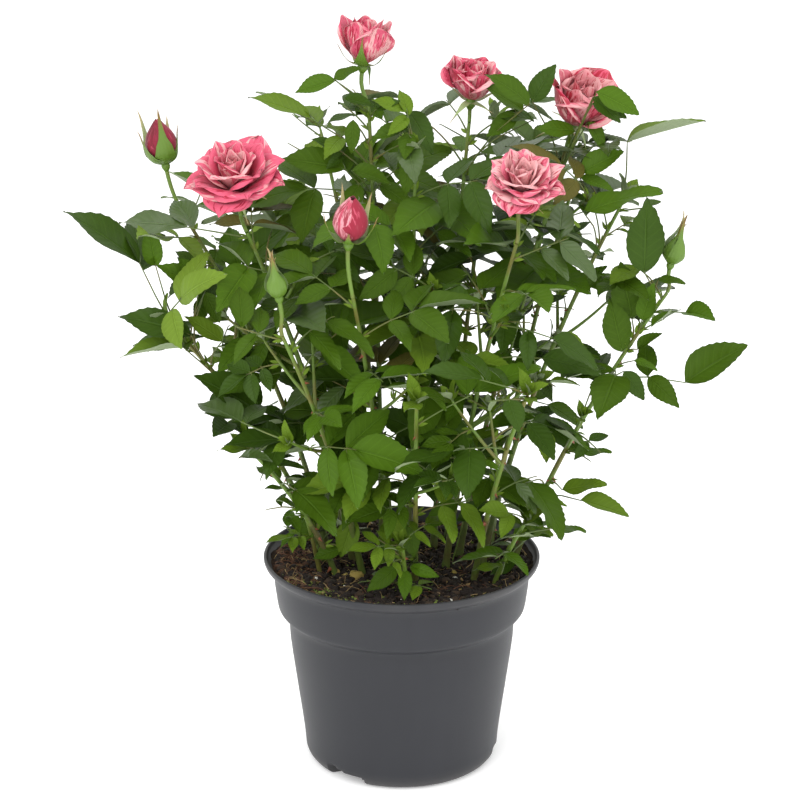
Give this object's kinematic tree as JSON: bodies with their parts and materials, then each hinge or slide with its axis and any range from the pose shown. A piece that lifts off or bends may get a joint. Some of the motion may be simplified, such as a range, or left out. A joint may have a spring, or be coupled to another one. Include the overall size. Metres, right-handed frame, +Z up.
{
  "type": "potted rose bush",
  "caption": "A miniature rose bush in a round plastic nursery pot: leafy canes that stand in the soil and carry striped pink roses and buds.",
  "frame": {"origin": "middle of the pot's flat underside", "axes": "+Z up along the pot's axis, -Y towards the front of the plant, +X to its right"},
  "size_m": [0.399, 0.2689, 0.4611],
  "materials": {
    "pot": "satin moulded plastic, dark slate grey",
    "soil": "damp peat",
    "canes": "smooth green bark",
    "foliage": "leathery satin leaf",
    "roses": "soft matt petal, pink striped with cream and crimson",
    "buds": "green bud"
  },
  "bodies": {
    "root": {"pot": "pot", "soil": "soil", "cane_top_rose": "canes", "cane_right_top_rose": "canes", "cane_right_high_rose": "canes", "cane_left_rose": "canes", "cane_left_bud": "canes", "cane_right_rose": "canes", "cane_front_bud": "canes", "cane_left_green_bud": "canes", "cane_right_outer": "canes", "cane_left_outer": "canes", "cane_left_low": "canes", "cane_back": "canes", "cane_back_right": "canes", "cane_back_left": "canes", "cane_back_right_outer": "canes", "cane_upper_right": "canes", "cane_front_right": "canes", "cane_front": "canes", "cane_middle": "canes", "leaves_top_rose": "foliage", "leaves_right_top_rose": "foliage", "leaves_right_high_rose": "foliage", "leaves_left_rose": "foliage", "leaves_left_bud": "foliage", "leaves_right_rose": "foliage", "leaves_front_bud": "foliage", "leaves_left_green_bud": "foliage", "leaves_right_outer": "foliage", "leaves_left_outer": "foliage", "leaves_left_low": "foliage", "leaves_back": "foliage", "leaves_back_right": "foliage", "leaves_back_left": "foliage", "leaves_back_right_outer": "foliage", "leaves_upper_right": "foliage", "leaves_front_right": "foliage", "leaves_front": "foliage", "leaves_middle": "foliage", "leaves_low_front": "foliage", "leaves_low_left": "foliage", "leaves_low_right": "foliage", "rose_top": "roses", "rose_right_top": "roses", "rose_right_high": "roses", "rose_left": "roses", "rose_right": "roses", "rose_front": "roses", "bud_left": "buds", "bud_green": "buds", "bud_right": "buds"}
  },
  "joints": []
}
